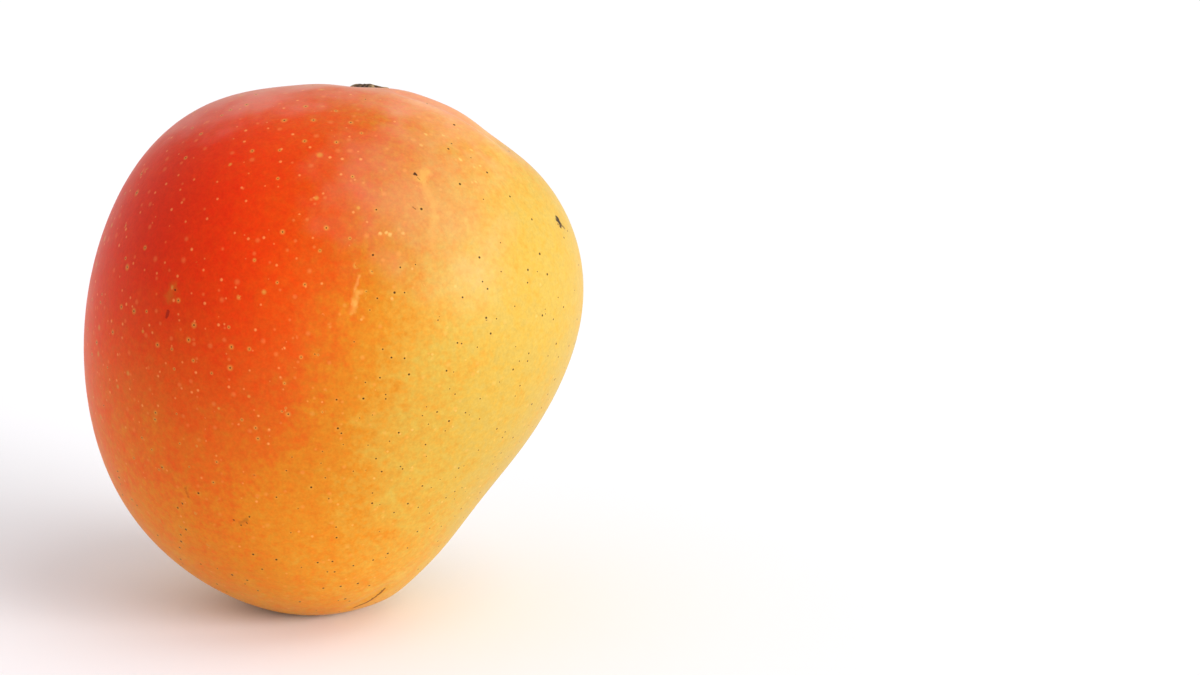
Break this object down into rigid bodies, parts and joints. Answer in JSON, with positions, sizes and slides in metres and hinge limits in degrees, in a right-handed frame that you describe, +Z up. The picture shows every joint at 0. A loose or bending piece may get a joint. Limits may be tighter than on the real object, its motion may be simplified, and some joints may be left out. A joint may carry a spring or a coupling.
{
  "type": "mango",
  "caption": "Whole ripe mango standing on a small flat spot, with the woody button left where its stalk broke off.",
  "frame": {"origin": "middle of the small flat spot that the fruit rests on", "axes": "+Z up towards the stalk end, +X along the broad side towards the slanting edge, +Y through the cheeks to the back"},
  "size_m": [0.0998, 0.0869, 0.1065],
  "materials": {
    "skin": "waxy fruit skin, satin, crimson blush passing through orange to golden yellow, dotted with lenticels",
    "stalk": "dry, corky brown stalk wood with a pale rim and a fibrous scar"
  },
  "bodies": {
    "root": {"fruit": "skin", "stalk_button": "stalk"}
  },
  "joints": []
}
